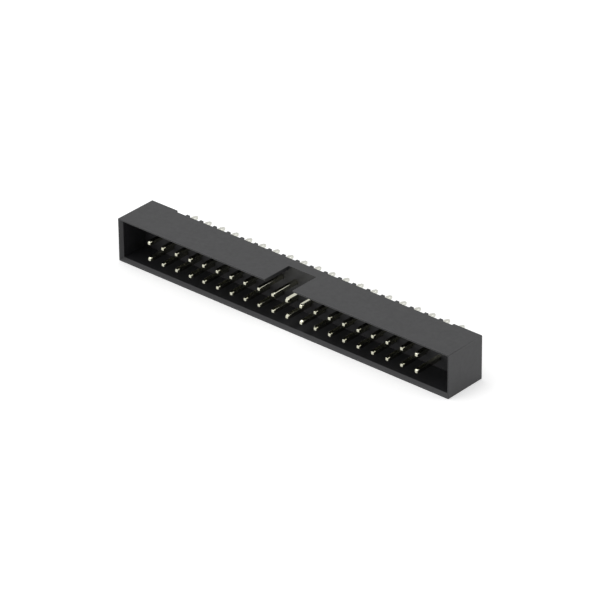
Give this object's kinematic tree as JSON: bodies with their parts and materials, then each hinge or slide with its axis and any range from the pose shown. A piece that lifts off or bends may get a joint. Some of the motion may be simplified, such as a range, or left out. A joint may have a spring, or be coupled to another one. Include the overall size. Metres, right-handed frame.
{
  "type": "idc box header",
  "caption": "Straight board-mount box header: moulded rectangular shroud with a keying notch round two rows of square contact pins, for a flat ribbon cable socket.",
  "frame": {"origin": "middle of the pin field on the plane where the standoffs meet the circuit board", "axes": "+X along the rows of pins, +Y out of the board side in the direction of the solder tails (the mating mouth faces -Y), +Z to the long wall with the keying notch; the header lies on its plain long wall"},
  "size_m": [0.047, 0.008, 0.0052],
  "materials": {
    "shroud": "satin moulded thermoplastic, black",
    "contact": "smooth thin gold plating over brass"
  },
  "bodies": {
    "root": {"housing": "shroud", "pin_01": "contact", "pin_02": "contact", "pin_03": "contact", "pin_04": "contact", "pin_05": "contact", "pin_06": "contact", "pin_07": "contact", "pin_08": "contact", "pin_09": "contact", "pin_10": "contact", "pin_11": "contact", "pin_12": "contact", "pin_13": "contact", "pin_14": "contact", "pin_15": "contact", "pin_16": "contact", "pin_17": "contact", "pin_18": "contact", "pin_19": "contact", "pin_20": "contact", "pin_21": "contact", "pin_22": "contact", "pin_23": "contact", "pin_24": "contact", "pin_25": "contact", "pin_26": "contact", "pin_27": "contact", "pin_28": "contact", "pin_29": "contact", "pin_30": "contact", "pin_31": "contact", "pin_32": "contact", "pin_33": "contact", "pin_34": "contact", "pin_35": "contact", "pin_36": "contact", "pin_37": "contact", "pin_38": "contact", "pin_39": "contact", "pin_40": "contact"}
  },
  "joints": []
}
